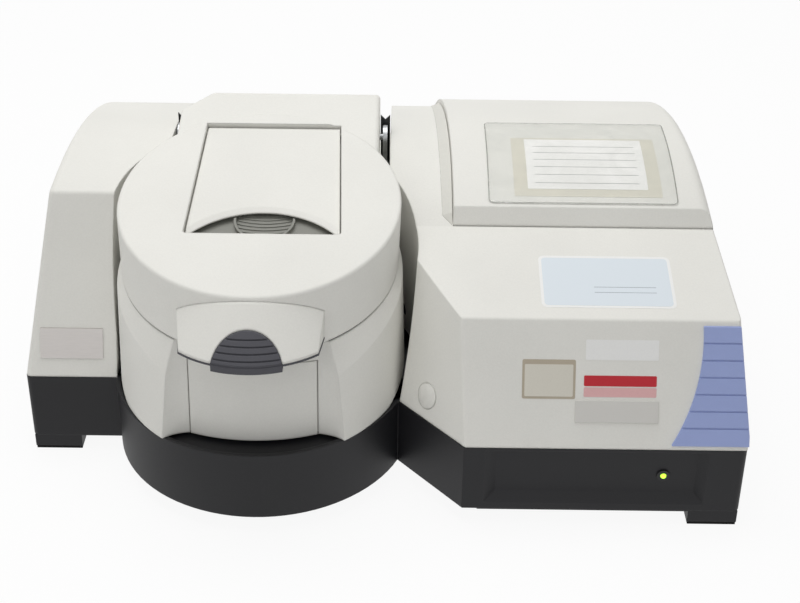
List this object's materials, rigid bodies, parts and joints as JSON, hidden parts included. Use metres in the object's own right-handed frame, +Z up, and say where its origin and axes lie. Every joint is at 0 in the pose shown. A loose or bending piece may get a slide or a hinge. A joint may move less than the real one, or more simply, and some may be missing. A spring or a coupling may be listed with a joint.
{
  "type": "UV-visible spectrophotometer",
  "caption": "Bench-top optical analyser with a round tilted sample-compartment lid between two arched housings, a pull-off front panel and a lift-off lamp cover",
  "frame": {"origin": "centre of the bounding box in plan, on the surface the feet rest on", "axes": "+X to the operator's right along the longest extent, +Y from the operator's side to the rear, +Z up"},
  "size_m": [0.62, 0.5706, 0.2689],
  "materials": {
    "housing": "fine-textured painted structural foam",
    "base": "fine-textured charcoal moulding",
    "scoop": "grey moulded plate",
    "foot_rubber": "matt black rubber",
    "grip": "dark grey soft-touch plastic",
    "accent": "pale blue moulded plastic",
    "plate": "brushed, bare",
    "black_trim": "black moulded plastic",
    "led": "green lens",
    "hinge_metal": "zinc-plated steel",
    "seal_foam": "black foam rubber",
    "liner": "matt black, light-absorbing",
    "cast_metal": "machined casting",
    "optics": "polished",
    "sheet_metal": "galvanised sheet",
    "quartz": "clear fused quartz",
    "circuit_board": "green solder mask"
  },
  "bodies": {
    "chassis": {"left_cover": "housing", "right_cover": "housing", "rear_deck": "housing", "drum_body": "housing", "base_tray": "base", "rubber_feet": "foot_rubber", "accent_panel": "accent", "model_plate": "plate", "badge_plate": "plate", "led_bezel": "black_trim", "mains_inlet": "black_trim", "switch_frame": "black_trim", "fan_frame": "black_trim", "status_led": "led", "hinge_brackets": "hinge_metal", "hinge_pin": "hinge_metal", "data_port": "hinge_metal", "light_seal": "seal_foam", "compartment_liner": "liner", "sample_cell_holder": "liner", "reference_cell_holder": "liner", "cell_platform": "cast_metal", "optical_bench": "cast_metal", "monochromator_case": "cast_metal", "detector_housing": "cast_metal", "lamp_housing": "sheet_metal", "power_supply": "sheet_metal", "beam_windows": "quartz", "deuterium_lamp": "quartz", "tungsten_lamp": "quartz", "mainboard": "circuit_board"},
    "lid": {"lid": "housing", "finger_scoop": "scoop", "lid_handle": "housing", "handle_grip": "grip"},
    "flap": {"lid_flap": "housing"},
    "compartment_panel": {"front_panel": "housing"},
    "lamp_hatch": {"lamp_cover": "housing"},
    "blind_plug": {"facet_plug": "housing"},
    "rocker": {"power_rocker": "black_trim"},
    "fan": {"fan_rotor": "black_trim"},
    "grating": {"grating_stage": "cast_metal"},
    "filters": {"filter_wheel": "optics"},
    "source_mirror": {"source_mirror": "optics"}
  },
  "joints": [
    {"name": "lid_hinge", "type": "hinge", "parent": "chassis", "child": "lid", "pos_m": [-0.0915, 0.00525, 0.234], "axis": [-1, 0, 0], "range_deg": [0, 75]},
    {"name": "flap_hinge", "type": "hinge", "parent": "lid", "child": "flap", "pos_m": [-0.101, -0.02951, 0.25203], "axis": [-1, 0, 0], "range_deg": [0, 85]},
    {"name": "panel_pull", "type": "slide", "parent": "chassis", "child": "compartment_panel", "axis": [0, -1, 0], "range_m": [0, 0.06]},
    {"name": "hatch_lift", "type": "slide", "parent": "chassis", "child": "lamp_hatch", "axis": [0, 0, 1], "range_m": [0, 0.08]},
    {"name": "plug_pull", "type": "slide", "parent": "chassis", "child": "blind_plug", "axis": [-0.7432, -0.603, 0.29], "range_m": [0, 0.012]},
    {"name": "rocker_tilt", "type": "hinge", "parent": "chassis", "child": "rocker", "pos_m": [-0.214, 0.27825, 0.046], "axis": [1, 0, 0], "range_deg": [0, 15]},
    {"name": "fan_spin", "type": "hinge", "parent": "chassis", "child": "fan", "pos_m": [0.23, 0.26525, 0.048], "axis": [0, 1, 0], "continuous": true},
    {"name": "grating_turn", "type": "hinge", "parent": "chassis", "child": "grating", "pos_m": [0.2, 0.14725, 0.075], "axis": [0, 0, 1], "range_deg": [-10, 45]},
    {"name": "filter_turn", "type": "hinge", "parent": "chassis", "child": "filters", "pos_m": [0.136, 0.07725, 0.075], "axis": [0, 0, 1], "continuous": true},
    {"name": "source_select", "type": "hinge", "parent": "chassis", "child": "source_mirror", "pos_m": [0.181, -0.04075, 0.075], "axis": [0, 0, 1], "range_deg": [0, 90]}
  ]
}
